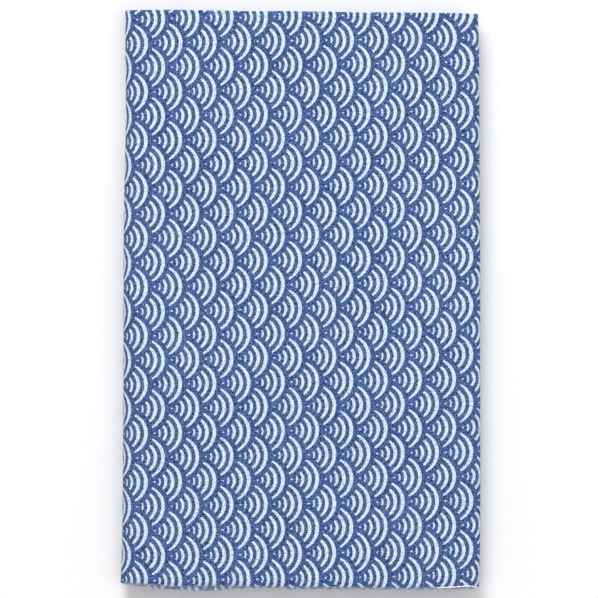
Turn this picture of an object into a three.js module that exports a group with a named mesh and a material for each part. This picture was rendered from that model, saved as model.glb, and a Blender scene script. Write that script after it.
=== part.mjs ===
// A printed cotton hand towel, folded flat as it is sold: once in half across its width, then in half three
// times along its length, so that eight doubled layers lie on each other.
// Millimetres, +Z up. The towel lies on the XY plane, with the middle of its footprint at the origin.
// X runs along the cloth's length and Y across its width, from the two selvages up to the centre fold.
import * as THREE from "three";

// Driving dimensions
const packetWidth = 111.3;      // over the folded sides, along X
const layerThickness = 1.0;     // two plies of cloth lying together
const layerGap = 0.3;           // air between two layers
const centreFoldY = 89.6;       // where the outer ply turns back into the inner one
const outerSelvageY = -89.3;    // the outer ply's woven edge
const innerSelvageY = -90.2;    // the inner ply's woven edge, which stands out under the outer one
const selvageRound = 0.25;      // the rounding of each woven edge
const partingDepth = 1.5;       // how far the two plies part above the outer selvage
const partingHalfWidth = 0.1;
const flatSteps = 4;            // facets along one flat layer

const left = -1;
const right = 1;
const indigo = 0x4a6a9e;

// The turns of the cloth, walked from its under end. Level 1 lies on the table and level 8 is the front.
// reach is the turn's depth along X, proud how far it stands past its side's spring line, slip how far the
// cloth has slid along Y there, skew how far the fold line swings along X by the centre fold, and steps the
// facets round it.
const turns = [
  { side: left, from: 1, to: 8, reach: 6.6, proud: 0, slip: 0.6, skew: 0, steps: 14 },
  { side: right, from: 8, to: 5, reach: 2.6, proud: 0, slip: -0.5, skew: 0, steps: 10 },
  { side: left, from: 5, to: 4, reach: 0.7, proud: 0.3, slip: -0.6, skew: 0.3, steps: 6 },
  { side: right, from: 4, to: 3, reach: 0.7, proud: 1.2, slip: -0.8, skew: -0.5, steps: 6 },
  { side: left, from: 3, to: 6, reach: 2.8, proud: 0, slip: -0.1, skew: -0.2, steps: 10 },
  { side: right, from: 6, to: 7, reach: 0.7, proud: 0.3, slip: -0.7, skew: 0.2, steps: 6 },
  { side: left, from: 7, to: 2, reach: 4.9, proud: 0, slip: 0.2, skew: 0.2, steps: 12 },
];

// The two cut ends, both on the right. short is how far each stops before that side.
const cutEnds = {
  under: { level: 1, short: 1.6, slip: 0.1, skew: 0.6 },
  inner: { level: 2, short: 3.0, slip: -0.4, skew: -0.9 },
};

// Stations across the cloth, from the selvages up to the centre fold. toLeft and toRight are how far the
// packet's sides stand off their straight lines there, along X, and loft how much thicker the stack is at
// its left side than at its right one, as a share of its height.
const stations = [
  { y: -87, toLeft: -0.9, toRight: -0.3, loft: 0.01 },
  { y: -78, toLeft: -0.6, toRight: -0.2, loft: 0.03 },
  { y: -62, toLeft: -0.2, toRight: 0.1, loft: 0.05 },
  { y: -20, toLeft: -0.1, toRight: 0.2, loft: 0.06 },
  { y: 30, toLeft: 0.1, toRight: 0.1, loft: 0.05 },
  { y: 62, toLeft: 0.7, toRight: -0.1, loft: 0.04 },
  { y: 80, toLeft: 0.5, toRight: -0.2, loft: 0.02 },
  { y: 88, toLeft: 0.4, toRight: -0.5, loft: 0.01 },
];

const halfThickness = layerThickness / 2;
const layerPitch = layerThickness + layerGap;
const sideX = packetWidth / 2;

// The spring line of each side is where its outermost turn starts to curve.
const outermostLeft = turns.find((turn) => turn.side === left);
const outermostRight = turns.find((turn) => turn.side === right);
const springLine = {
  [left]: -sideX + outermostLeft.reach + halfThickness,
  [right]: sideX - outermostRight.reach - halfThickness,
};

// Height of the middle of a layer.
function levelHeight(level) {
  return halfThickness + (level - 1) * layerPitch;
}

// One flat layer from x to x, both ends included. Slip and skew run evenly from one end's row to the other's.
function flatRun(fromX, toX, level, fromRow, toRow) {
  const heading = Math.sign(toX - fromX);
  const run = [];
  for (let i = 0; i <= flatSteps; i += 1) {
    const share = i / flatSteps;
    run.push({
      x: THREE.MathUtils.lerp(fromX, toX, share),
      z: levelHeight(level),
      normalX: 0,
      normalZ: heading,
      slip: THREE.MathUtils.lerp(fromRow.slip, toRow.slip, share),
      skew: THREE.MathUtils.lerp(fromRow.skew, toRow.skew, share),
    });
  }
  return run;
}

// Half an ellipse from one level to another, without its two ends. The normal lies to the left of the walk.
function turnRun(turn) {
  const startZ = levelHeight(turn.from);
  const rise = (levelHeight(turn.to) - startZ) / 2;
  const run = [];
  for (let i = 1; i < turn.steps; i += 1) {
    const angle = (Math.PI * i) / turn.steps;
    const alongX = turn.side * turn.reach * Math.cos(angle);
    const alongZ = rise * Math.sin(angle);
    const length = Math.hypot(alongX, alongZ);
    run.push({
      x: turnStart(turn) + turn.side * turn.reach * Math.sin(angle),
      z: startZ + rise * (1 - Math.cos(angle)),
      normalX: -alongZ / length,
      normalZ: alongX / length,
      slip: turn.slip,
      skew: turn.skew,
    });
  }
  return run;
}

// Where a turn leaves its layer, along X.
function turnStart(turn) {
  return springLine[turn.side] + turn.side * turn.proud;
}

// The whole walk along the cloth, from the under cut end to the inner one.
function clothWalk() {
  const walk = [];
  let x = sideX - cutEnds.under.short;
  let level = cutEnds.under.level;
  let row = cutEnds.under;
  for (const turn of turns) {
    walk.push(...flatRun(x, turnStart(turn), level, row, turn));
    walk.push(...turnRun(turn));
    x = turnStart(turn);
    level = turn.to;
    row = turn;
  }
  walk.push(...flatRun(x, sideX - cutEnds.inner.short, cutEnds.inner.level, row, cutEnds.inner));
  return walk;
}

// The section across the cloth, as a closed loop: up the outer ply, over the centre fold, down the inner ply
// and round the two selvages, with the narrow parting between them. off is the distance from the middle of
// the layer along its normal.
function crossSection() {
  const first = stations[0];
  const last = stations[stations.length - 1];
  const partingY = outerSelvageY + partingDepth;
  const foldCentreY = centreFoldY - halfThickness;
  const side = (off, rows) => rows.map((row) => ({ off, y: row.y, row }));
  const fold = [0.25, 0.5, 0.75].map((share) => ({
    off: halfThickness * Math.cos(Math.PI * share),
    y: foldCentreY + halfThickness * Math.sin(Math.PI * share),
    row: last,
  }));
  const selvage = (sign, y) => [
    { off: sign * halfThickness, y: y + selvageRound, row: first },
    { off: sign * (halfThickness - selvageRound / 2), y, row: first },
    { off: sign * (partingHalfWidth + selvageRound / 2), y, row: first },
    { off: sign * partingHalfWidth, y: y + selvageRound, row: first },
  ];
  return [
    ...side(halfThickness, stations),
    ...fold,
    ...side(-halfThickness, [...stations].reverse()),
    ...selvage(-1, innerSelvageY),
    { off: 0, y: partingY, row: first },
    ...selvage(1, outerSelvageY).reverse(),
  ];
}

// A point of the cloth: the walk gives its place in the stack, and the section its place across the cloth.
// The sides then lean with the station's row, each fold line swings by its skew, and the heights swell
// towards the left.
function clothPoint(step, point) {
  const x = step.x + step.normalX * point.off;
  const z = step.z + step.normalZ * point.off;
  const towardsRight = (x + sideX) / packetWidth;
  const lean = THREE.MathUtils.lerp(point.row.toLeft, point.row.toRight, towardsRight);
  const swing = (step.skew * point.y) / centreFoldY;
  const swell = 1 + point.row.loft * (1 - towardsRight) ** 2;
  return [x + lean + swing, point.y + step.slip, z * swell];
}

// The faces of a cut end, as corners of the section: a ladder across the plies, a fan over the centre fold,
// and a fan from the bottom of the parting over both selvages.
function cutFace(count) {
  const rows = stations.length;
  const foldPoints = 3;
  const innerTop = rows + foldPoints;
  const innerBottom = innerTop + rows - 1;
  const parting = innerBottom + 5;
  const faces = [];
  for (let i = 0; i < rows - 1; i += 1) {
    const across = innerBottom - i;
    faces.push([i, i + 1, across], [i + 1, across - 1, across]);
  }
  for (let i = rows; i < innerTop; i += 1) {
    faces.push([rows - 1, i, i + 1]);
  }
  for (let i = innerBottom; i < parting - 1; i += 1) {
    faces.push([parting, i, i + 1]);
  }
  for (let i = parting + 1; i < count; i += 1) {
    faces.push([parting, i, (i + 1) % count]);
  }
  faces.push([parting, 0, innerBottom]);
  return faces;
}

// The section carried along the walk, closed by the two cut ends.
function clothGeometry() {
  const walk = clothWalk();
  const section = crossSection();
  const count = section.length;
  const positions = walk.flatMap((step) => section.flatMap((point) => clothPoint(step, point)));
  const faces = [];
  for (let i = 0; i < walk.length - 1; i += 1) {
    for (let j = 0; j < count; j += 1) {
      const next = (j + 1) % count;
      const a = i * count + j;
      const b = i * count + next;
      faces.push([a, a + count, b], [b, a + count, b + count]);
    }
  }
  const lastStep = (walk.length - 1) * count;
  for (const [a, b, c] of cutFace(count)) {
    faces.push([a, b, c], [a + lastStep, c + lastStep, b + lastStep]);
  }
  const geometry = new THREE.BufferGeometry();
  geometry.setAttribute("position", new THREE.Float32BufferAttribute(positions, 3));
  geometry.setIndex(faces.flat());
  geometry.computeBoundingBox();
  const middle = geometry.boundingBox.getCenter(new THREE.Vector3());
  geometry.translate(-middle.x, -middle.y, 0);
  geometry.computeVertexNormals();
  return geometry;
}

const cotton = new THREE.MeshStandardMaterial({ color: indigo, roughness: 0.9, metalness: 0 });
const foldedTowel = new THREE.Mesh(clothGeometry(), cotton);
foldedTowel.name = "folded_towel";

const towel = new THREE.Group();
towel.add(foldedTowel);

export default towel;
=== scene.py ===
import bpy
import numpy as np
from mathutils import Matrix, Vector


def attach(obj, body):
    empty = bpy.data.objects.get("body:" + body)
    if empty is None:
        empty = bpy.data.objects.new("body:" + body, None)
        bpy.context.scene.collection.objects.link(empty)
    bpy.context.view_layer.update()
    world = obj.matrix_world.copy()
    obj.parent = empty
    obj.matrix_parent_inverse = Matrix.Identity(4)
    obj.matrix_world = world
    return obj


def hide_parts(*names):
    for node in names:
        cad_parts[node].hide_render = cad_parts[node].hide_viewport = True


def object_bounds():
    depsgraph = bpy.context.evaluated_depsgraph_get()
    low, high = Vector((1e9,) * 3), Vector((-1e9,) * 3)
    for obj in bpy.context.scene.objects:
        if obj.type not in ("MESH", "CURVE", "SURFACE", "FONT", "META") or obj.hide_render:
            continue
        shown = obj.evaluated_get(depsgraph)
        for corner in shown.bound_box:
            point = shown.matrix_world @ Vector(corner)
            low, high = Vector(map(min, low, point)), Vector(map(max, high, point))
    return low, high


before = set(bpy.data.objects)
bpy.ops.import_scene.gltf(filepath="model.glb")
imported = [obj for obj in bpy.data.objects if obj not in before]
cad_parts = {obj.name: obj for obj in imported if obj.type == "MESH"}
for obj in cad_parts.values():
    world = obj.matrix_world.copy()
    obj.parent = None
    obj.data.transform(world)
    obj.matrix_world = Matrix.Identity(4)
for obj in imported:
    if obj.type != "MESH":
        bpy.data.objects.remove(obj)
cadLow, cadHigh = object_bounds()
mm = 0.001
print("frame loaded, box in mm", [round(v / mm, 1) for v in (*cadLow, *cadHigh)])

# The towel is worked out in millimetres and put into its meshes in metres.
# X runs along the cloth's length, Y from the two selvages up to the centre fold, Z out of the front.


def meshObject(name, points, faces, materials):
    mesh = bpy.data.meshes.new(name)
    mesh.from_pydata((points.reshape(-1, 3) * mm).tolist(), [], faces)
    for material in materials:
        mesh.materials.append(material)
    mesh.polygons.foreach_set("use_smooth", np.ones(len(mesh.polygons), bool))
    thing = bpy.data.objects.new(name, mesh)
    bpy.context.scene.collection.objects.link(thing)
    return thing


def perCorner(thing, values):
    # one value for each face, repeated for its corners
    sizes = np.zeros(len(thing.data.polygons), np.int32)
    thing.data.polygons.foreach_get("loop_total", sizes)
    return np.repeat(values, sizes)


def addUvMap(thing, name, corners):
    layer = thing.data.uv_layers.new(name=name)
    layer.uv.foreach_set("vector", corners.astype(np.float32).ravel())


def newMaterial(name):
    material = bpy.data.materials.new(name)
    material.use_nodes = True
    return material, material.node_tree, material.node_tree.nodes["Principled BSDF"]


# The picture: straight above, long lens, the frame's width measured at the front of the cloth
picture = dict(
    frameWidth=186.4,
    lens=250.0,
    sensor=36.0,
    centre=(-0.44, 0.4),
    frontZ=10.1,
    clip=(0.05, 20.0),    # in metres
)


def buildCamera():
    data = bpy.data.cameras.new("camera")
    data.lens, data.sensor_width = picture["lens"], picture["sensor"]
    data.clip_start, data.clip_end = picture["clip"]
    camera = bpy.data.objects.new("camera", data)
    distance = picture["frameWidth"] * picture["lens"] / picture["sensor"]
    x, y = picture["centre"]
    camera.location = (x * mm, y * mm, (picture["frontZ"] + distance) * mm)
    bpy.context.scene.collection.objects.link(camera)
    bpy.context.scene.camera = camera
    print("camera", round(distance * mm, 2), "m above the towel")


studio = dict(
    world=0.54,
    floorShade=0.86,
    floorRoughness=0.9,
    floorHalf=3000.0,
    floorDrop=0.05,       # the floor lies this far under the cloth
    lights=[              # places and sizes in metres
        dict(name="key", place=(-0.40, 1.68, 1.68), size=1.28, power=42.2),
        dict(name="fill", place=(0.7, -0.1, 1.5), size=1.4, power=6.2),
    ],
)


def buildStudio():
    scene = bpy.context.scene
    scene.view_settings.view_transform = "Standard"
    world = bpy.data.worlds.new("studio")
    world.use_nodes = True
    background = world.node_tree.nodes["Background"]
    background.inputs["Color"].default_value = (1.0, 1.0, 1.0, 1.0)
    background.inputs["Strength"].default_value = studio["world"]
    scene.world = world
    for row in studio["lights"]:
        data = bpy.data.lights.new(row["name"], "AREA")
        data.shape, data.size, data.energy = "DISK", row["size"], row["power"]
        lamp = bpy.data.objects.new(row["name"], data)
        lamp.location = row["place"]
        lamp.rotation_euler = (-lamp.location).to_track_quat("-Z", "Y").to_euler()
        scene.collection.objects.link(lamp)
    square = studio["floorHalf"] * np.array([[-1, -1], [1, -1], [1, 1], [-1, 1]])
    corners = np.column_stack([square, np.full(len(square), -studio["floorDrop"])])
    paper, _, shader = newMaterial("pale_floor")
    shade = studio["floorShade"]
    shader.inputs["Base Color"].default_value = (shade, shade, shade, 1.0)
    shader.inputs["Roughness"].default_value = studio["floorRoughness"]
    meshObject("floor", corners, [[0, 1, 2, 3]], [paper])
    print("studio:", len(studio["lights"]), "lights and a pale floor")


# The folded cloth
towel = dict(
    node="folded_towel",
    packetWidth=111.3,
    leftLean=0.9,         # how far the solid's left side leans out at the selvages
    layerHalf=0.5,        # half of one doubled layer
    layerPitch=1.3,
    frontLevel=8,
    stackHeight=10.1,
    centreFold=89.6,      # Y of the fold across the width
    outerSelvage=-89.3,   # Y of the outer ply's woven edge
    plyOff=0.29,          # each ply's middle, off the middle of its layer
    plyHalf=0.17,         # half the cloth's own thickness
    rimOut=0.12,          # how far the rounded woven edge stands out
    acrossSteps=34,       # mesh columns across one ply
    acrossEase=0.08,      # the smaller, the closer they stand by both edges
    foldSteps=9,          # mesh columns round the centre fold
)

# One row for each turn, walked from the under cut end. Level 1 lies on the table, level 8 is the front.
# reach: depth along X, proud: how far past the spring line, slip: slide along Y,
# skew: swing along X by the centre fold, stepOut: how far the inner selvage shows under the outer one,
# flatRows and turnRows: mesh rows along the layer before the turn and round it
foldTurns = [
    dict(side=-1, level=1, onto=8, reach=6.6, proud=0.0, slip=0.6, skew=0.0, stepOut=0.0,
         flatRows=40, turnRows=40),
    dict(side=1, level=8, onto=5, reach=2.6, proud=0.0, slip=-0.5, skew=0.0, stepOut=0.3,
         flatRows=56, turnRows=26),
    dict(side=-1, level=5, onto=4, reach=0.7, proud=0.3, slip=0.0, skew=0.3, stepOut=0.2,
         flatRows=24, turnRows=12),
    dict(side=1, level=4, onto=3, reach=0.7, proud=1.2, slip=-0.7, skew=-0.5, stepOut=0.3,
         flatRows=24, turnRows=14),
    dict(side=-1, level=3, onto=6, reach=2.8, proud=0.0, slip=0.2, skew=-0.2, stepOut=0.3,
         flatRows=24, turnRows=22),
    dict(side=1, level=6, onto=7, reach=0.7, proud=0.3, slip=-0.6, skew=0.2, stepOut=0.4,
         flatRows=24, turnRows=12),
    dict(side=-1, level=7, onto=2, reach=4.9, proud=0.0, slip=0.4, skew=0.2, stepOut=0.2,
         flatRows=24, turnRows=30),
]
underEnd = dict(level=1, short=1.6, slip=0.1, skew=0.6, stepOut=0.6)
innerEnd = dict(level=2, short=3.0, slip=-0.4, skew=-0.9, stepOut=0.5, flatRows=26)

# Along the front's woven edge: how far it hangs below the fold's own line, and how far the ply
# beneath it shows
frontEdge = [
    dict(x=-48.6, drop=0.05, under=0.0),
    dict(x=-47, drop=0.1, under=0.8),
    dict(x=-45, drop=0.3, under=1.2),
    dict(x=-40, drop=0.6, under=1.2),
    dict(x=-32, drop=0.6, under=1.4),
    dict(x=-25, drop=0.5, under=1.3),
    dict(x=-20, drop=0.5, under=0.8),
    dict(x=-8, drop=0.55, under=0.4),
    dict(x=10, drop=0.5, under=0.45),
    dict(x=30, drop=0.5, under=0.3),
    dict(x=42, drop=0.3, under=0.5),
    dict(x=52.6, drop=0.05, under=0.3),
]

# Rows across the cloth: how far the packet's sides stand off their straight lines, and how much the stack
# swells towards its left side
sideRows = [
    dict(y=-90, toLeft=-1.1, toRight=-0.1, loft=0.01),
    dict(y=-78, toLeft=-0.6, toRight=0.1, loft=0.03),
    dict(y=-62, toLeft=-0.3, toRight=0.2, loft=0.05),
    dict(y=-20, toLeft=-0.1, toRight=0.2, loft=0.06),
    dict(y=30, toLeft=0.1, toRight=0.1, loft=0.05),
    dict(y=62, toLeft=0.7, toRight=-0.1, loft=0.04),
    dict(y=80, toLeft=0.5, toRight=-0.2, loft=0.02),
    dict(y=90, toLeft=0.4, toRight=-0.5, loft=0.01),
]

# How the cloth stirs: by how much, and how far from the edge or fold it is felt
stir = dict(
    plyRipple=0.05,       # each ply off its layer
    selvageRipple=0.06,   # and more of it by the woven edges
    rippleReach=26,
    selvageWave=0.22,     # the inner ply's woven edge along Y
    outerWave=0.10,       # and the outer ply's
    innerHaste=1.3,       # the inner one goes up and down this much more often
    waveReach=9,
    plySag=0.20,          # the inner ply down from the outer one by its woven edge
    sagReach=14,
    hangReach=24,         # the woven edges' drop and step
    edgeLift=0.22,        # the stack up and down along its woven edges
    liftLength=83,
    liftPhase=0.9,
    liftReach=45,
    foldWave=0.12,        # the centre fold along Y
    foldReach=14,
    cutWave=0.35,         # the cut ends along X
    cutReach=5,
    shearReach=30,        # the two plies' lengths become one by the centre fold
    freeFrom=0.6,         # the under layer stays flat on the table up to this height
    freeOver=1.2,         # and the others come free over this much more
    phase=dict(outerPly=0.4, innerPly=2.9, outerEdge=1.7, innerEdge=5.2, fold=4.1, cut=3.3),
)

# The waves in a ripple, and long low waves through the whole stack
ripples = [
    dict(height=0.5, lengthA=37, lengthB=61, times=1.0, phase=0.0),
    dict(height=0.3, lengthA=17, lengthB=-43, times=2.3, phase=1.1),
    dict(height=0.2, lengthA=7.9, lengthB=97, times=3.7, phase=2.6),
]
swells = [
    dict(height=0.10, lengthX=88, lengthY=140, phase=0.6),
    dict(height=0.06, lengthX=47, lengthY=-75, phase=2.1),
]

# Soft troughs and ridges in the front: middle, direction, half sizes along and across,
# depth
creases = [
    dict(x=-36, y=52, turn=84, along=34, across=6.0, depth=-0.10),
    dict(x=-22, y=-38, turn=97, along=40, across=7.5, depth=0.10),
    dict(x=18, y=20, turn=15, along=30, across=6.5, depth=-0.08),
    dict(x=34, y=-58, turn=62, along=26, across=6.0, depth=-0.09),
    dict(x=40, y=58, turn=118, along=24, across=7.0, depth=0.08),
]


def column(rows, name):
    return np.array([row[name] for row in rows], float)


def easedTable(at, rows, key, name):
    # cubic through the table's rows, with slopes from their neighbours
    xs, ys = column(rows, key), column(rows, name)
    slopes = np.gradient(ys, xs)
    at = np.clip(at, xs[0], xs[-1])
    i = np.clip(np.searchsorted(xs, at) - 1, 0, len(xs) - 2)
    width = xs[i + 1] - xs[i]
    t = (at - xs[i]) / width
    start = (1 + 2 * t) * (1 - t) ** 2 * ys[i] + t * (1 - t) ** 2 * width * slopes[i]
    return start + t * t * (3 - 2 * t) * ys[i + 1] + t * t * (t - 1) * width * slopes[i + 1]


def easeOut(distance, reach):
    # 1 at no distance, falling smoothly to 0 at reach
    t = np.clip(1 - distance / reach, 0, 1)
    return t * t * (3 - 2 * t)


def wander(a, b, phase):
    # an even-tempered ripple of about -1 to 1: the sum of three sine waves of unlike lengths
    total = 0.0
    for row in ripples:
        wave = 2 * np.pi * (a / row["lengthA"] + b / row["lengthB"]) + row["times"] * phase + row["phase"]
        total = total + row["height"] * np.sin(wave)
    return total


walkNames = ("x", "z", "nx", "nz", "slip", "skew", "stepOut", "drop")


def walkCloth(plan):
    # flat layers are straight runs, turns are half ellipses:
    # x = spring + side * reach * sin(a), z = half way between the levels - half their distance * cos(a)
    half, sideX = plan["layerHalf"], plan["packetWidth"] / 2
    # the outermost turns set where each side starts to curve
    spring = {-1: -sideX + foldTurns[0]["reach"] + half, 1: sideX - foldTurns[1]["reach"] - half}

    def height(level):
        return half + (level - 1) * plan["layerPitch"]

    def between(a, b, name, share):
        return a[name] + (b[name] - a[name]) * share

    def flat(fromX, toX, level, a, b, rows):
        share = np.linspace(0, 1, rows + 1)
        heading = np.sign(toX - fromX) * np.ones_like(share)
        x = fromX + (toX - fromX) * share
        lie = [between(a, b, name, share) for name in ("slip", "skew", "stepOut")]
        drop = 0 * share
        if level == plan["frontLevel"]:
            lie[2] = easedTable(x, frontEdge, "x", "under")
            drop = easedTable(x, frontEdge, "x", "drop")
        return [x, height(level) + 0 * share, 0 * share, heading, *lie, drop]

    def turned(turn):
        angle = np.linspace(0, np.pi, turn["turnRows"] + 1)[1:-1]
        rise = (height(turn["onto"]) - height(turn["level"])) / 2
        goX = turn["side"] * turn["reach"] * np.cos(angle)
        goZ = rise * np.sin(angle)
        size = np.hypot(goX, goZ)
        x = spring[turn["side"]] + turn["side"] * (turn["proud"] + turn["reach"] * np.sin(angle))
        z = height(turn["level"]) + rise * (1 - np.cos(angle))
        lie = [turn[name] + 0 * angle for name in ("slip", "skew", "stepOut")]
        return [x, z, -goZ / size, goX / size, *lie, 0 * angle]

    runs, x, last = [], sideX - underEnd["short"], underEnd
    frontStart = None
    for turn in foldTurns:
        start = spring[turn["side"]] + turn["side"] * turn["proud"]
        if turn["level"] == plan["frontLevel"]:
            frontStart = sum(len(run[0]) for run in runs)
        runs.append(flat(x, start, turn["level"], last, turn, turn["flatRows"]))
        runs.append(turned(turn))
        x, last = start, turn
    endX = sideX - innerEnd["short"]
    runs.append(flat(x, endX, innerEnd["level"], last, innerEnd, innerEnd["flatRows"]))
    walk = {name: np.concatenate([run[i] for run in runs]) for i, name in enumerate(walkNames)}
    for ply, sign in (("outerRun", 1), ("innerRun", -1)):
        plyX = walk["x"] + sign * plan["plyOff"] * walk["nx"]
        plyZ = walk["z"] + sign * plan["plyOff"] * walk["nz"]
        walk[ply] = np.concatenate([[0], np.cumsum(np.hypot(np.diff(plyX), np.diff(plyZ)))])
    walk["frontStart"] = frontStart
    return walk


def clothRing(plan):
    # the closed section across both plies: the printed face from selvage to selvage, round the rim,
    # the reverse back again, round the other rim. off is the distance off the layer's middle
    thick, ease = plan["plyHalf"], plan["acrossEase"]
    low, top = plan["outerSelvage"], plan["centreFold"] - plan["plyOff"] - thick
    share = np.linspace(0, 1, plan["acrossSteps"] + 1)
    share = 0.5 - 0.5 * np.cos(np.pi * (ease + (1 - 2 * ease) * share))
    share = (share - share[0]) / (share[-1] - share[0])
    y = low + (top - low) * share
    angle = np.linspace(0, np.pi, plan["foldSteps"] + 1)[1:-1]
    faceOff = np.concatenate([0 * y + 1, np.cos(angle), 0 * y - 1])
    faceY = np.concatenate([0 * y, np.sin(angle), 0 * y])
    middleOff = plan["plyOff"] * faceOff
    middleY = np.concatenate([y, top + plan["plyOff"] * np.sin(angle), y[::-1]])
    across = np.concatenate([[0], np.cumsum(np.hypot(np.diff(middleOff), np.diff(middleY)))])
    rimY = low - plan["rimOut"]
    innerRim = dict(off=-plan["plyOff"], y=rimY, ply=-1.0, across=across[-1] + thick)
    outerRim = dict(off=plan["plyOff"], y=rimY, ply=1.0, across=-thick)

    def closed(name, face, back):
        return np.concatenate([face, [innerRim[name]], back[::-1], [outerRim[name]]])

    return dict(
        off=closed("off", middleOff + thick * faceOff, middleOff - thick * faceOff),
        y=closed("y", middleY + thick * faceY, middleY - thick * faceY),
        ply=closed("ply", faceOff, faceOff),
        across=closed("across", across, across),
        count=len(across),
        width=across[-1],
    )


def creaseHeight(x, y):
    # each crease is depth * exp(-(lengthways / half length)^2 - (sideways / half width)^2),
    # in its own turned axes
    height = np.zeros_like(x)
    for crease in creases:
        angle = np.radians(crease["turn"])
        dx, dy = x - crease["x"], y - crease["y"]
        lengthways = (dx * np.cos(angle) + dy * np.sin(angle)) / crease["along"]
        sideways = (dy * np.cos(angle) - dx * np.sin(angle)) / crease["across"]
        height += crease["depth"] * np.exp(-lengthways ** 2 - sideways ** 2)
    return height


def frameShift(plan):
    # from the fold's own middle to the frame's
    shiftX = cadLow.x / mm + plan["packetWidth"] / 2 + plan["leftLean"]
    shiftY = cadHigh.y / mm - plan["centreFold"] - max(column(foldTurns, "slip"))
    return shiftX, shiftY


def clothPoints(plan, walk, ring):
    # P = walk + normal * off + Y * y, with each ply rippling off its layer and its edges wandering,
    # then the sides lean, the fold lines swing and the stack swells and ripples with its height
    low, top, sideX = plan["outerSelvage"], plan["centreFold"], plan["packetWidth"] / 2
    lie = {name: walk[name][:, None] for name in walkNames}
    ply, ringY = ring["ply"][None, :], ring["y"][None, :]
    outer, inner, phase = ply > 0, np.clip(-ply, 0, 1), stir["phase"]
    run = np.where(outer, walk["outerRun"][:, None], walk["innerRun"][:, None])
    y = ringY + 0 * lie["x"]
    nearSelvage, nearFold = easeOut(y - low, stir["rippleReach"]), easeOut(top - y, stir["foldReach"])
    free = np.clip((lie["z"] - stir["freeFrom"]) / stir["freeOver"], 0, 1)
    play = (stir["plyRipple"] + stir["selvageRipple"] * nearSelvage) * (1 - nearFold) * free
    ripple = np.where(outer, wander(run, y, phase["outerPly"]), wander(run, y, phase["innerPly"]))
    off = ring["off"][None, :] + play * ripple
    sag = stir["plySag"] * np.clip(lie["stepOut"], 0, 1) * free      # it lies lower where it shows
    off = off - sag * inner * easeOut(y - low, stir["sagReach"])
    outerEdge = stir["outerWave"] * wander(run, 0 * y, phase["outerEdge"])
    innerEdge = stir["selvageWave"] * wander(stir["innerHaste"] * run, 0 * y, phase["innerEdge"])
    y = y - (lie["drop"] + lie["stepOut"] * inner) * easeOut(y - low, stir["hangReach"])
    y = y + np.where(outer, outerEdge, innerEdge) * easeOut(ringY - low, stir["waveReach"])
    y = y + stir["foldWave"] * wander(run, 0 * y, phase["fold"]) * nearFold
    x = lie["x"] + lie["nx"] * off
    z = lie["z"] + lie["nz"] * off
    nearCut = easeOut(run, stir["cutReach"]) + easeOut(walk["outerRun"][-1] - run, stir["cutReach"])
    x = x + stir["cutWave"] * nearCut * wander(ringY, 0 * run, phase["cut"])
    towardsRight = (x + sideX) / plan["packetWidth"]
    toLeft, toRight, loft = (easedTable(y, sideRows, "y", name) for name in ("toLeft", "toRight", "loft"))
    lean = toLeft + (toRight - toLeft) * towardsRight + lie["skew"] * y / top
    y = y + lie["slip"]
    relief = np.zeros_like(x)
    for swell in swells:
        wave = np.sin(2 * np.pi * (x / swell["lengthX"] + y / swell["lengthY"]) + swell["phase"])
        relief = relief + swell["height"] * wave
    relief = relief + creaseHeight(x, y)
    lift = np.sin(2 * np.pi * x / stir["liftLength"] + stir["liftPhase"])
    relief = relief + stir["edgeLift"] * easeOut(y - low, stir["liftReach"]) * lift
    raised = 1 + loft * (1 - towardsRight) ** 2 + relief / plan["stackHeight"]
    shiftX, shiftY = frameShift(plan)
    return np.stack([x + lean + shiftX, y + shiftY, np.maximum(z * raised, 0)], -1)


def lengthAlong(plan, walk, ring, points):
    # length along the cloth at every point: the way along its ply's middle, from the front's left end,
    # where it is taken from X so that the print stands straight on the front
    count, first = ring["count"], walk["frontStart"]
    middle = (points[:, :count] + points[:, 2 * count - np.arange(count)]) / 2
    steps = np.hypot(np.diff(middle[..., 0], axis=0), np.diff(middle[..., 2], axis=0))
    way = np.concatenate([np.zeros((1, count)), np.cumsum(steps, 0)])
    way = way - way[first] + middle[first, :, 0] - frameShift(plan)[0]
    # the plies' lengths differ round the turns, and shear into one at the centre fold
    shared = easeOut(plan["centreFold"] - ring["y"][:count], stir["shearReach"])
    way = way + (way[:, count // 2, None] - way) * shared
    return np.concatenate([way, way[:, -1:], way[:, ::-1], way[:, :1]], 1)


def ringFaces(rowCount, ring):
    # quads between neighbouring rows round the closed ring, a ladder from face to reverse at each
    # cut end, and which of the quads are on the reverse
    count, size = ring["count"], len(ring["off"])
    row, k = np.meshgrid(np.arange(rowCount - 1), np.arange(size), indexing="ij")
    a, b = row * size + k, row * size + (k + 1) % size
    sides = np.stack([a, a + size, b + size, b], -1).reshape(-1, 4)
    reverse = ((k >= count) & (k < 2 * count)).ravel()
    rung = np.arange(count - 1)
    ladder = np.stack([rung, rung + 1, 2 * count - 1 - rung, 2 * count - rung], -1)
    tips = np.array([[0, 2 * count, 2 * count + 1], [count - 1, count, count + 1]])
    last = (rowCount - 1) * size
    quads = np.concatenate([sides, ladder, ladder[:, ::-1] + last])
    triangles = np.concatenate([tips, tips[:, ::-1] + last])
    return quads, triangles, reverse


# Node helpers
def setOrLink(tree, socket, value):
    if isinstance(value, (int, float)):
        socket.default_value = value
    elif isinstance(value, tuple):
        socket.default_value = (*value, 1.0) if socket.type == "RGBA" else value
    else:
        tree.links.new(value, socket)


def addMath(tree, operation, *values):
    node = tree.nodes.new("ShaderNodeMath")
    node.operation = operation
    for socket, value in zip(node.inputs, values):
        setOrLink(tree, socket, value)
    return node.outputs[0]


def addVector(tree, operation, *values):
    node = tree.nodes.new("ShaderNodeVectorMath")
    node.operation = operation
    for socket, value in zip(node.inputs, values):
        setOrLink(tree, socket, value)
    return node.outputs[0]


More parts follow.
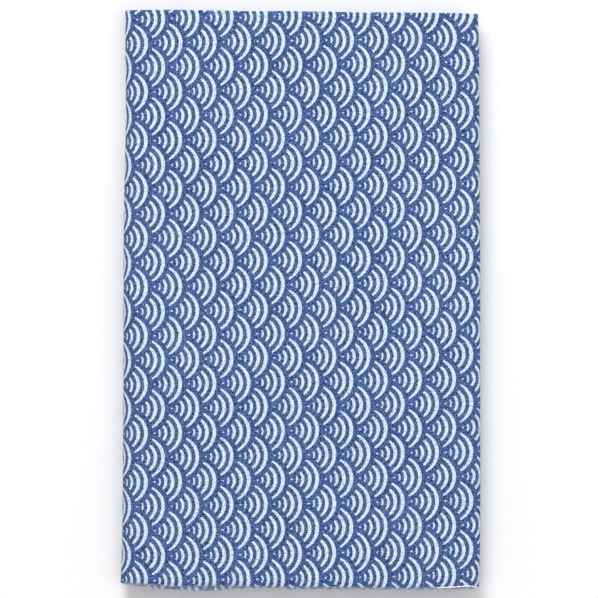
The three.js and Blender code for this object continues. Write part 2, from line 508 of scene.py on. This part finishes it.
def splitVector(tree, vector):
    node = tree.nodes.new("ShaderNodeSeparateXYZ")
    tree.links.new(vector, node.inputs[0])
    return node.outputs[0], node.outputs[1]


def addNoise(tree, vector, scale, detail, roughness=0.5):
    node = tree.nodes.new("ShaderNodeTexNoise")
    tree.links.new(vector, node.inputs["Vector"])
    node.inputs["Scale"].default_value = scale
    node.inputs["Detail"].default_value = detail
    node.inputs["Roughness"].default_value = roughness
    return node


def addRange(tree, value, fromLow, fromHigh, toLow, toHigh, smooth=False):
    node = tree.nodes.new("ShaderNodeMapRange")
    node.interpolation_type = "SMOOTHSTEP" if smooth else "LINEAR"
    tree.links.new(value, node.inputs["Value"])
    ends = {"From Min": fromLow, "From Max": fromHigh, "To Min": toLow, "To Max": toHigh}
    for name, amount in ends.items():
        node.inputs[name].default_value = amount
    return node.outputs["Result"]


def addMix(tree, factor, a, b):
    node = tree.nodes.new("ShaderNodeMix")
    node.data_type = "RGBA"
    sockets = [node.inputs["Factor"], *[socket for socket in node.inputs if socket.type == "RGBA"]]
    for socket, value in zip(sockets, (factor, a, b)):
        setOrLink(tree, socket, value)
    return next(socket for socket in node.outputs if socket.type == "RGBA")


def shaded(tree, colour, value):
    # the colour times a value
    node = tree.nodes.new("ShaderNodeHueSaturation")
    setOrLink(tree, node.inputs["Color"], colour)
    tree.links.new(value, node.inputs["Value"])
    return node.outputs[0]


def addBump(tree, shader, height, strength, distance):
    node = tree.nodes.new("ShaderNodeBump")
    node.inputs["Strength"].default_value = strength
    node.inputs["Distance"].default_value = distance * mm
    tree.links.new(height, node.inputs["Height"])
    tree.links.new(node.outputs[0], shader.inputs["Normal"])


# The wave scales, in mm on the flat cloth. Arcs bulge along the cloth, each scale covers those behind it,
# and every arc is a disc less the same disc moved back by its width.
waveScales = dict(
    column=5.338,         # from one column of scales to the next
    row=15.197,           # from one scale to the next in its column
    slant=0.0290,         # how steeply the rows climb against the selvage
    clip=8.07,            # a scale covers what is behind it out to this radius
    tip=(32.94, 73.37),   # one outer arc's tip on the front, from the middle of the picture
    arcs=[
        dict(centre=0.0, radius=6.58, width=1.14),
        dict(centre=-0.62, radius=4.86, width=1.09),
        dict(centre=-1.22, radius=3.22, width=0.90),
        dict(centre=-1.87, radius=1.86, width=0.55),
    ],
    dot=dict(centre=-2.05, radius=0.38),
    endRound=0.12,        # rounding of the arcs' ends
    edgeSoft=0.10,        # how far the dye creeps over an edge
    gapEdge=0.5,          # the grey between the arcs fades out over this width by the outermost one
    gapFrom=(-1.3, 1.2),  # and comes in between these places on the scale's middle line
    gapLeast=0.15,
    creepFrom=(-2.4, 0.6),    # the dye creeps into the smallest arcs, less and less between these places
    creepMost=0.6,
)


def scaleMask(tree, along, across, plan):
    # the scale that owns a point is the leftmost one whose disc holds it: the column before or the next.
    # Gives how far a point is undyed, how far it lies between the arcs, and how far dye creeps in there
    def calc(operation, *values):
        return addMath(tree, operation, *values)

    def radius(dx, dy):
        return calc("SQRT", calc("ADD", calc("MULTIPLY", dx, dx), calc("MULTIPLY", dy, dy)))

    halfRow, pitch, clip = plan["row"] / 2, plan["column"], plan["clip"]
    level = calc("SUBTRACT", across, calc("MULTIPLY", along, plan["slant"]))

    def local(index):
        dx = calc("SUBTRACT", along, calc("MULTIPLY", index, pitch))
        odd = calc("FLOORED_MODULO", index, 2.0)
        dy = calc("WRAP", calc("SUBTRACT", level, calc("MULTIPLY", odd, halfRow)), halfRow, -halfRow)
        return dx, dy

    first = calc("CEIL", calc("DIVIDE", calc("SUBTRACT", along, clip), pitch))
    held = calc("LESS_THAN", radius(*local(first)), clip)
    dx, dy = local(calc("ADD", first, calc("SUBTRACT", 1.0, held)))
    otherRow = calc("WRAP", calc("ADD", dy, halfRow), halfRow, -halfRow)
    before = calc("SUBTRACT", radius(calc("ADD", dx, pitch), otherRow), clip)
    behind = calc("SUBTRACT", radius(calc("ADD", dx, 2 * pitch), dy), clip)
    cover = calc("MINIMUM", before, behind)

    def disc(centre, size):
        return calc("SUBTRACT", radius(calc("SUBTRACT", dx, centre), dy), size)

    shape = disc(plan["dot"]["centre"], plan["dot"]["radius"])
    for arc in plan["arcs"]:
        hollow = disc(arc["centre"] - arc["width"], arc["radius"])
        crescent = calc("MAXIMUM", disc(arc["centre"], arc["radius"]), calc("MULTIPLY", hollow, -1.0))
        shape = calc("MINIMUM", shape, crescent)
    shape = calc("SMOOTH_MAX", shape, calc("MULTIPLY", cover, -1.0), plan["endRound"])
    mask = addRange(tree, shape, -plan["edgeSoft"], plan["edgeSoft"], 1.0, 0.0, smooth=True)
    outermost = plan["arcs"][0]["radius"]
    within = addRange(tree, radius(dx, dy), outermost - plan["gapEdge"], outermost, 1.0, 0.0)
    within = calc("MULTIPLY", within, addRange(tree, dx, *plan["gapFrom"], plan["gapLeast"], 1.0))
    creep = addRange(tree, dx, *plan["creepFrom"], plan["creepMost"], 0.0)
    return mask, within, creep


cotton = dict(
    deepBlue=(0.036, 0.097, 0.284),
    paleBlue=(0.058, 0.134, 0.334),
    violet=(0.064, 0.092, 0.278),     # where the dye leans to violet
    violetShare=0.45,
    gapBlue=(0.085, 0.122, 0.190),    # between a scale's own arcs
    gapShare=0.7,
    crown=(0.270, 0.370, 0.560),      # where a dyed yarn is worn pale
    crownShare=0.25,
    undyed=(0.592, 0.722, 0.912),
    tinted=(0.470, 0.640, 0.950),     # undyed, with a little dye
    reverseTint=(0.480, 0.530, 0.600),
    reverseShare=0.30,
    selvage=(0.400, 0.480, 0.620),
    selvageShare=0.5,
    selvageWidth=0.40,
    warpPitch=0.573,                  # between yarns that run along the cloth
    weftPitch=0.525,                  # between yarns that run across it
    yarnWander=0.7,
    floatEdge=0.14,                   # how softly one yarn dips under the next
    raggedEdge=0.55,                  # how far the print's edges follow the yarns
    roughness=0.98,
    polish=0.10,                      # how much smoother the yarns are on top
    specular=0.12,
    sheenWeight=0.06,
    sheenRoughness=0.45,
    bumpStrength=0.5,
    bumpDistance=0.07,
    slubBump=0.8,
)

# How strongly each kind of grain shows, dyed and undyed. top and depth: how bright the cloth is without
# it and how dark its pits get,
# base and rise: the painted shade between the yarns, and how much brighter their tops are painted
dyedGrain = dict(
    tones=dict(checker=1.15, yarnTone=6.3, slub=0.8, mottle=3.0),
    top=1.10, depth=2.1, base=0.47, rise=1.02,
)
bareGrain = dict(
    tones=dict(checker=0.60, yarnTone=3.2, slub=0.35, mottle=1.5),
    top=1.06, depth=1.1, base=0.78, rise=0.46,
)

# Noise in the cloth: repeats per mm, detail, roughness
clothNoise = dict(
    wander=(0.30, 2.0, 0.5),
    grain=(1.5, 2.0, 0.75),
    patches=(0.8, 1.0, 0.5),
    cloud=(0.035, 3.0, 0.55),
    tinge=(0.40, 1.0, 0.5),
)
noiseRange = dict(patches=(0.3, 0.7), cloud=(0.32, 0.68), tinge=(0.35, 0.65))

# Noise drawn out along the yarns: repeats per mm along and across the cloth, where it starts, detail
yarnNoise = dict(
    warpSlub=dict(repeats=(0.06, 1.75, 1.0), start=(0.0, 0.0, 0.0), detail=2.0),
    weftSlub=dict(repeats=(1.9, 0.05, 1.0), start=(0.0, 0.0, 0.0), detail=2.0),
    warpTone=dict(repeats=(0.8, 2.3, 1.0), start=(0.0, 0.0, 0.0), detail=1.0),
    weftTone=dict(repeats=(2.4, 0.8, 1.0), start=(31.0, 17.0, 5.0), detail=1.0),
)


def printedCotton(name, printAt, clothWidth, reverse):
    # plain weave printed in two blues, the arcs left undyed; the reverse shows the dye that came through
    material, tree, shader = newMaterial(name)
    uvMap = tree.nodes.new("ShaderNodeUVMap")
    uvMap.uv_map = "cloth"
    # a point's place on the flat cloth, in mm
    flat = addVector(tree, "MULTIPLY", uvMap.outputs[0], (1 / mm, 1 / mm, 1 / mm))

    def calc(operation, *values):
        return addMath(tree, operation, *values)

    def noise(kind):
        return addNoise(tree, flat, *clothNoise[kind])

    def drawnOut(kind):
        row = yarnNoise[kind]
        vector = addVector(tree, "MULTIPLY_ADD", flat, row["repeats"], row["start"])
        return addNoise(tree, vector, 1.0, row["detail"]).outputs["Fac"]

    def pushed(source, amount):
        push = addVector(tree, "SUBTRACT", source.outputs["Color"], (0.5, 0.5, 0.5))
        return addVector(tree, "MULTIPLY_ADD", push, (amount, amount, 0.0), flat)

    def spread(kind, least, most):
        # from least to most over the noise's own middle range
        return addRange(tree, noise(kind).outputs["Fac"], *noiseRange[kind], least, most)

    # the weave: yarns wander and thicken a little, and warp and weft come to the top in turn
    wavyX, wavyY = splitVector(tree, pushed(noise("wander"), cotton["yarnWander"]))
    weft = calc("SINE", calc("MULTIPLY", wavyX, np.pi / cotton["weftPitch"]))
    warp = calc("SINE", calc("MULTIPLY", wavyY, np.pi / cotton["warpPitch"]))
    checker = calc("MULTIPLY", warp, weft)
    weftTop, warpTop = calc("ABSOLUTE", weft), calc("ABSOLUTE", warp)
    over = addRange(tree, checker, -cotton["floatEdge"], cotton["floatEdge"], 0.0, 1.0, smooth=True)
    under = calc("SUBTRACT", 1.0, over)
    warpFloat = calc("MULTIPLY", warpTop, calc("SQRT", weftTop))
    weftFloat = calc("MULTIPLY", weftTop, calc("SQRT", warpTop))
    weave = calc("ADD", calc("MULTIPLY", over, warpFloat), calc("MULTIPLY", under, weftFloat))

    # slubs are thick and thin stretches along the yarns. Each yarn takes the dye unevenly along its
    # length, and shows it where it comes to the top
    grain = noise("grain")
    slub = calc("SUBTRACT", calc("ADD", drawnOut("warpSlub"), drawnOut("weftSlub")), 1.0)
    warpTone, weftTone = drawnOut("warpTone"), drawnOut("weftTone")
    yarnTone = calc("MULTIPLY_ADD", over, calc("SUBTRACT", warpTone, weftTone), weftTone)
    tones = dict(
        checker=calc("MULTIPLY", checker, spread("patches", 0.0, 1.0)),
        yarnTone=calc("SUBTRACT", yarnTone, 0.5),
        slub=slub,
        mottle=calc("SUBTRACT", grain.outputs["Fac"], 0.5),
    )

    def grainOf(plan):
        # all tones together: pits below nought darken the cloth, and what is above it wears it pale
        total = 0.0
        for tone, amount in plan["tones"].items():
            total = calc("MULTIPLY_ADD", tones[tone], amount, total)
        pit = calc("MULTIPLY_ADD", calc("MINIMUM", total, 0.0), -plan["depth"], 1.0)
        # painted shade: the colour is painted darker between the yarns and lighter on their tops
        paintedYarnShade = calc("MULTIPLY_ADD", weave, plan["rise"], plan["base"])
        return calc("MULTIPLY", calc("DIVIDE", plan["top"], pit), paintedYarnShade), calc("MAXIMUM", total, 0.0)

    # the print's edges follow the yarns
    ragged = pushed(grain, cotton["raggedEdge"])
    place = splitVector(tree, addVector(tree, "SUBTRACT", ragged, (*printAt, 0.0)))
    mask, within, creep = scaleMask(tree, *place, waveScales)

    blue = addMix(tree, spread("cloud", 0.0, 1.0), cotton["deepBlue"], cotton["paleBlue"])
    blue = addMix(tree, calc("MULTIPLY", within, cotton["gapShare"]), blue, cotton["gapBlue"])
    blue = addMix(tree, spread("tinge", 0.0, cotton["violetShare"]), blue, cotton["violet"])
    shade, worn = grainOf(dyedGrain)
    worn = calc("MULTIPLY", worn, cotton["crownShare"])
    dyed = addMix(tree, worn, shaded(tree, blue, shade), cotton["crown"])
    shade, _ = grainOf(bareGrain)
    bare = shaded(tree, addMix(tree, creep, cotton["undyed"], cotton["tinted"]), shade)
    cloth = addMix(tree, mask, dyed, bare)
    if reverse:
        cloth = addMix(tree, cotton["reverseShare"], cloth, cotton["reverseTint"])
    # a pale line along each woven edge
    _, acrossCloth = splitVector(tree, ragged)
    fromEdge = calc("MINIMUM", acrossCloth, calc("SUBTRACT", clothWidth, acrossCloth))
    edge = addRange(tree, fromEdge, 0.0, cotton["selvageWidth"], cotton["selvageShare"], 0.0)
    tree.links.new(addMix(tree, edge, cloth, cotton["selvage"]), shader.inputs["Base Color"])

    height = calc("ADD", weave, calc("MULTIPLY", slub, cotton["slubBump"]))
    addBump(tree, shader, height, cotton["bumpStrength"], cotton["bumpDistance"])
    rough = calc("MULTIPLY_ADD", weave, -cotton["polish"], cotton["roughness"])
    tree.links.new(rough, shader.inputs["Roughness"])
    shader.inputs["Specular IOR Level"].default_value = cotton["specular"]
    shader.inputs["Sheen Weight"].default_value = cotton["sheenWeight"]
    shader.inputs["Sheen Roughness"].default_value = cotton["sheenRoughness"]
    return material


# A map for baking: whole repeats of the print fill the square, from the left turn over the front
bakeTile = dict(
    columns=24,
    rows=12,
    before=17,            # it starts this far before the front
    reverseBy=2.0,        # the reverse is moved outside by this many squares
)


def printTile(walk, run, across, printAt, corners, slots):
    # u and v count whole squares of repeats, so the rest of the cloth reads the same ones outside it
    slant = waveScales["slant"]
    wide, deep = bakeTile["columns"] * waveScales["column"], bakeTile["rows"] * waveScales["row"]
    alongPrint = run - printAt[0]
    start = walk["x"][walk["frontStart"]] - bakeTile["before"] - printAt[0]
    climb = across - printAt[1] - slant * alongPrint
    base = -printAt[1] - slant * start
    tile = np.stack([(alongPrint - start) / wide, (climb - base) / deep], -1).reshape(-1, 2)[corners]
    tile[:, 0] += bakeTile["reverseBy"] * slots
    return tile


def printPlace(walk):
    # where the print lies along and across the cloth: one arc's tip has its own place in the picture
    first = walk["frontStart"]
    tipX, tipY = np.add(waveScales["tip"], picture["centre"]) - frameShift(towel)
    run = tipX + walk["outerRun"][first] - walk["x"][first]
    slip = np.interp(run, walk["outerRun"], walk["slip"])
    return float(tipX - waveScales["arcs"][0]["radius"]), float(tipY - slip - towel["outerSelvage"])


def buildTowel():
    walk, ring = walkCloth(towel), clothRing(towel)
    points = clothPoints(towel, walk, ring)
    run = lengthAlong(towel, walk, ring, points)
    across = ring["across"][None, :] + 0 * run
    quads, triangles, reverse = ringFaces(len(walk["x"]), ring)
    faces = quads.tolist() + triangles.tolist()
    printAt = printPlace(walk)
    materials = [
        printedCotton("printed_cotton_face", printAt, ring["width"], False),
        printedCotton("printed_cotton_reverse", printAt, ring["width"], True),
    ]
    cloth = meshObject("towel_cloth", points, faces, materials)
    slots = np.zeros(len(faces), np.int32)
    slots[: len(reverse)] = reverse
    cloth.data.polygons.foreach_set("material_index", slots)
    corners = np.zeros(len(cloth.data.loops), np.int32)
    cloth.data.loops.foreach_get("vertex_index", corners)
    flat = np.stack([run, across], -1).reshape(-1, 2) * mm
    addUvMap(cloth, "cloth", flat[corners])
    addUvMap(cloth, "OFBake", printTile(walk, run, across, printAt, corners, perCorner(cloth, slots)))
    cloth.data.update()
    size = (ring["width"] * mm, walk["outerRun"][-1] * mm)
    print("towel cloth: flat size in mm", [round(v / mm, 1) for v in size], len(faces), "faces")
    return cloth, size, dict(walk=walk, ring=ring, points=points, across=across)


# Yarns that have come out of the weave
yarn = dict(
    white=(0.880, 0.900, 0.920),
    pale=(0.740, 0.780, 0.840),
    blue=(0.090, 0.150, 0.320),
    twists=3,                 # on one loop, cut end or hair
    looseTwists=15,           # on the loose yarn
    # painted shade in the grooves between the two strands
    paintedGrooveShade=0.30,
    driftScale=7.0,           # its shade drifts along it, from driftLeast up by driftMost
    driftMost=0.5,
    driftLeast=0.56,
    roughness=0.95,
    specular=0.1,
    bumpStrength=0.5,
    bumpDistance=0.04,
    radius=0.085,
    endClear=1.0,             # loops and hairs stay this far off the cuts
    rootShare=0.2,            # cut ends and hairs start this far inside, of their length
    seed=11,
)


def unit(vectors):
    return vectors / np.linalg.norm(vectors, axis=-1, keepdims=True)


def tubeMesh(name, paths, radius, sides, materials):
    # P = path + radius * (cos(a) * side + sin(a) * up), its ring square to the path, closed at both ends
    count, steps, _ = paths.shape
    heading = unit(np.gradient(paths, axis=1))
    steep = np.abs(heading[..., 2:]) >= 0.8
    helper = np.where(steep, [1.0, 0.0, 0.0], [0.0, 0.0, 1.0])
    side = unit(np.cross(heading, helper))
    up = np.cross(side, heading)
    angle = 2 * np.pi * np.arange(sides) / sides
    turn = np.cos(angle)[:, None] * side[:, :, None, :] + np.sin(angle)[:, None] * up[:, :, None, :]
    points = paths[:, :, None, :] + radius[:, :, None, None] * turn
    i, k, j = np.meshgrid(np.arange(count), np.arange(steps - 1), np.arange(sides), indexing="ij")
    a, b = (i * steps + k) * sides + j, (i * steps + k) * sides + (j + 1) % sides
    quads = np.stack([a, a + sides, b + sides, b], -1).reshape(-1, 4)
    start = (np.arange(count) * steps * sides)[:, None] + np.arange(sides)[None, :]
    end = (start + (steps - 1) * sides)[:, ::-1]
    thing = meshObject(name, points, quads.tolist() + start.tolist() + end.tolist(), materials)
    perTube = np.arange(count) % len(materials)
    slots = np.concatenate([np.repeat(perTube, (steps - 1) * sides), perTube, perTube]).astype(np.int32)
    thing.data.polygons.foreach_set("material_index", slots)
    # u runs along each tube and v round it, and for baking each material has its own strip of the square
    near, far, left, right = k / (steps - 1), (k + 1) / (steps - 1), j / sides, (j + 1) / sides
    wall = np.stack([near, left, far, left, far, right, near, right], -1).reshape(-1, 2)
    rim = np.arange(sides) / sides
    startCap, endCap = np.stack([0 * rim, rim], -1), np.stack([0 * rim + 1, rim[::-1]], -1)
    uv = np.concatenate([wall, np.tile(startCap, (count, 1)), np.tile(endCap, (count, 1))])
    margin = 0.02
    u, v = (margin + (1 - 2 * margin) * uv).T
    addUvMap(thing, "yarn", uv)
    addUvMap(thing, "OFBake", np.stack([(perCorner(thing, slots) + u) / len(materials), v], -1))
    return thing


def spunYarn(name, colour, twists):
    # two strands twisted together: painted shade darkens the grooves that wind round the yarn, and its
    # tone drifts along it
    material, tree, shader = newMaterial(name)

    def calc(operation, *values):
        return addMath(tree, operation, *values)

    uvMap = tree.nodes.new("ShaderNodeUVMap")
    uvMap.uv_map = "yarn"
    u, v = splitVector(tree, uvMap.outputs[0])
    turned = calc("MULTIPLY_ADD", u, twists, v)
    strand = calc("ABSOLUTE", calc("SINE", calc("MULTIPLY", turned, 2 * np.pi)))
    drift = addNoise(tree, uvMap.outputs[0], yarn["driftScale"], detail=2.0).outputs["Fac"]
    drift = calc("MULTIPLY_ADD", drift, yarn["driftMost"], yarn["driftLeast"])
    # painted shade: darker in the grooves between the strands, on top of the drift in tone
    shade = calc("MULTIPLY_ADD", strand, yarn["paintedGrooveShade"], drift)
    tree.links.new(shaded(tree, colour, shade), shader.inputs["Base Color"])
    addBump(tree, shader, strand, yarn["bumpStrength"], yarn["bumpDistance"])
    shader.inputs["Roughness"].default_value = yarn["roughness"]
    shader.inputs["Specular IOR Level"].default_value = yarn["specular"]
    return material


def pointOn(line, run, at):
    return np.stack([np.interp(at, run, line[:, i]) for i in range(3)], -1)


def headingOn(line, run, at):
    step = 0.2
    return unit(pointOn(line, run, at + step) - pointOn(line, run, at - step))


def mostlyShort(random, ends, power, count):
    # lengths between two ends, the more of them short the higher the power
    return ends[0] + (ends[1] - ends[0]) * random.random(count) ** power


# Loops where the weft turns at the woven edges
loop = dict(
    name="selvage_loops",
    share=0.7,                # of the loops show at all
    shift=0.08,
    out=(0.02, 0.32),         # how far one stands out, least and most
    half=(0.4, 0.75),         # half its width, of the weft's pitch
    thick=(0.75, 1.15),       # of the yarn's radius
    rootDepth=0.12,           # how deep it starts in the edge
    steps=6,
    sides=4,
)


def selvageLoops(random, rims):
    # half a small oval, P = edge + heading * half width * cos(a) - Y * out * sin(a)
    pitch, clear = cotton["weftPitch"], yarn["endClear"]
    angle = np.linspace(0, np.pi, loop["steps"])[None, :, None]
    paths = []
    for rim, run in rims:
        at = np.arange(run[0] + clear, run[-1] - clear, 2 * pitch)
        at = at[random.random(len(at)) < loop["share"]] + random.normal(0, loop["shift"], 1)
        middle, heading = pointOn(rim, run, at), headingOn(rim, run, at)
        out = random.uniform(*loop["out"], len(at))[:, None, None]
        half = pitch * random.uniform(*loop["half"], len(at))[:, None, None]
        path = middle[:, None, :] + heading[:, None, :] * half * np.cos(angle)
        paths.append(path + np.array([0.0, -1.0, 0.0]) * (out * np.sin(angle) - loop["rootDepth"]))
    paths = np.concatenate(paths)
    thick = random.uniform(*loop["thick"], (len(paths), 1)) * np.ones((1, loop["steps"]))
    return paths, yarn["radius"] * thick


# Ends that stand out of the two cuts
cutEnd = dict(
    name="cut_end_yarns",
    clear=0.4,                # they stay this far off the woven edges
    shift=0.06,
    out=(0.15, 1.3),
    shortness=2.5,
    sideways=0.35,            # how far they curl, of their length
    upward=0.14,
    taper=(1.2, 1.2, 1.15, 1.05, 0.75),
    sides=5,
)


def cutYarns(random, fold):
    # P = cut + X * out * t + a curl sideways and up or down that grows with t squared
    count, points = fold["ring"]["count"], fold["points"]
    t = np.linspace(-yarn["rootShare"], 1, len(cutEnd["taper"]))[None, :]
    paths = []
    for row in (0, -1):
        middle = (points[row, :count] + points[row, 2 * count - np.arange(count)]) / 2
        across = fold["across"][row, :count]
        at = np.arange(cutEnd["clear"], across[-1] - cutEnd["clear"], cotton["warpPitch"])
        at = at + random.normal(0, cutEnd["shift"], len(at))
        start = pointOn(middle, across, at)
        out = mostlyShort(random, cutEnd["out"], cutEnd["shortness"], len(at))[:, None]
        curl = random.normal(0, 1, (2, len(at), 1)) * out * t * t
        way = np.stack([out * t, cutEnd["sideways"] * curl[0], cutEnd["upward"] * curl[1]], -1)
        paths.append(start[:, None, :] + way)
    paths = np.concatenate(paths)
    return paths, yarn["radius"] * np.ones((len(paths), 1)) * np.array([cutEnd["taper"]])


# Stray fibres along the woven edges
hair = dict(
    name="selvage_hairs",
    perMm=1.1,
    radius=0.022,
    out=(0.15, 1.0),
    shortness=3,
    lean=0.8,                 # along the edge
    lift=0.35,
    bend=0.6,
    taper=(1.0, 1.0, 0.9, 0.7, 0.4),
    sides=3,
)


def selvageHairs(random, rims):
    # P = edge + length * (way * t + heading * bend * t^2), thin and lifting a little off the edge
    clear = yarn["endClear"]
    t = np.linspace(-yarn["rootShare"], 1, len(hair["taper"]))[None, :, None]
    paths = []
    for rim, run in rims:
        count = int(hair["perMm"] * (run[-1] - run[0]))
        at = np.sort(random.uniform(run[0] + clear, run[-1] - clear, count))
        start, heading = pointOn(rim, run, at), headingOn(rim, run, at)
        way = heading * random.normal(0, hair["lean"], (count, 1)) + np.array([0.0, -1.0, 0.0])
        way = way + random.normal(0, hair["lift"], (count, 1)) * np.array([0.0, 0.0, 1.0])
        out = mostlyShort(random, hair["out"], hair["shortness"], count)[:, None, None]
        bend = heading[:, None, :] * random.normal(0, hair["bend"], (count, 1, 1))
        paths.append(start[:, None, :] + out * (way[:, None, :] * t + bend * t * t))
    paths = np.concatenate(paths)
    return paths, hair["radius"] * np.ones((len(paths), 1)) * np.array([hair["taper"]])


# One selvage yarn has come loose along the front's edge, by the right corner
loose = dict(
    name="loose_yarn",
    radius=0.18,
    lump=0.2,                 # how much thicker and thinner it gets
    lumpPace=4.1,
    steps=60,
    evened=9,                 # steps over which its height is evened out
    sides=6,
    line=[
        dict(x=42.6, y=-89.62),
        dict(x=45.4, y=-89.52),
        dict(x=47.9, y=-89.40),
        dict(x=50.1, y=-89.22),
        dict(x=52.3, y=-89.10),
        dict(x=53.8, y=-89.24),
        dict(x=55.2, y=-89.55),
    ],
)


def looseYarn(walk, points):
    # it lies on the cloth: each point takes the height of the nearest place on the front, evened out
    line, evened = loose["line"], loose["evened"]
    turn = next(row for row in foldTurns if row["level"] == towel["frontLevel"])
    x = np.linspace(line[0]["x"], line[-1]["x"], loose["steps"])
    y = easedTable(x, line, "x", "y")
    first = walk["frontStart"]
    last = first + turn["flatRows"] + turn["turnRows"] // 2
    front = points[first:last, : towel["acrossSteps"] + 1].reshape(-1, 3)
    gap = (front[None, :, 0] - x[:, None]) ** 2 + (front[None, :, 1] - y[:, None]) ** 2
    z = np.pad(front[gap.argmin(1), 2], evened // 2, mode="edge")
    z = np.convolve(z, np.ones(evened) / evened, mode="valid") + loose["radius"]
    thick = loose["radius"] * (1 + loose["lump"] * np.sin(x * loose["lumpPace"]))
    return np.stack([x, y, z], -1)[None], thick[None, :]


def buildYarns(fold):
    random = np.random.default_rng(yarn["seed"])
    pale = spunYarn("pale_yarn", yarn["pale"], yarn["twists"])
    blue = spunYarn("blue_yarn", yarn["blue"], yarn["twists"])
    white = spunYarn("white_yarn", yarn["white"], yarn["looseTwists"])
    walk, points, count = fold["walk"], fold["points"], fold["ring"]["count"]
    rims = [(points[:, count], walk["innerRun"]), (points[:, 2 * count + 1], walk["outerRun"])]

    def tubes(plan, paths, thick, materials, radius):
        paths[..., 2] = np.maximum(paths[..., 2], radius)     # none goes through the table
        print("yarns:", len(paths), plan["name"])
        return tubeMesh(plan["name"], paths, thick, plan["sides"], materials)

    return [
        tubes(loop, *selvageLoops(random, rims), [pale, pale, blue], yarn["radius"]),
        tubes(cutEnd, *cutYarns(random, fold), [pale, blue], yarn["radius"]),
        tubes(hair, *selvageHairs(random, rims), [pale], hair["radius"]),
        tubes(loose, *looseYarn(walk, points), [white], loose["radius"]),
    ]


buildCamera()
buildStudio()
cloth, flatSize, fold = buildTowel()
yarns = buildYarns(fold)
for piece in [cloth, *yarns]:
    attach(piece, "root")
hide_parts(towel["node"])

bpy.context.view_layer.update()
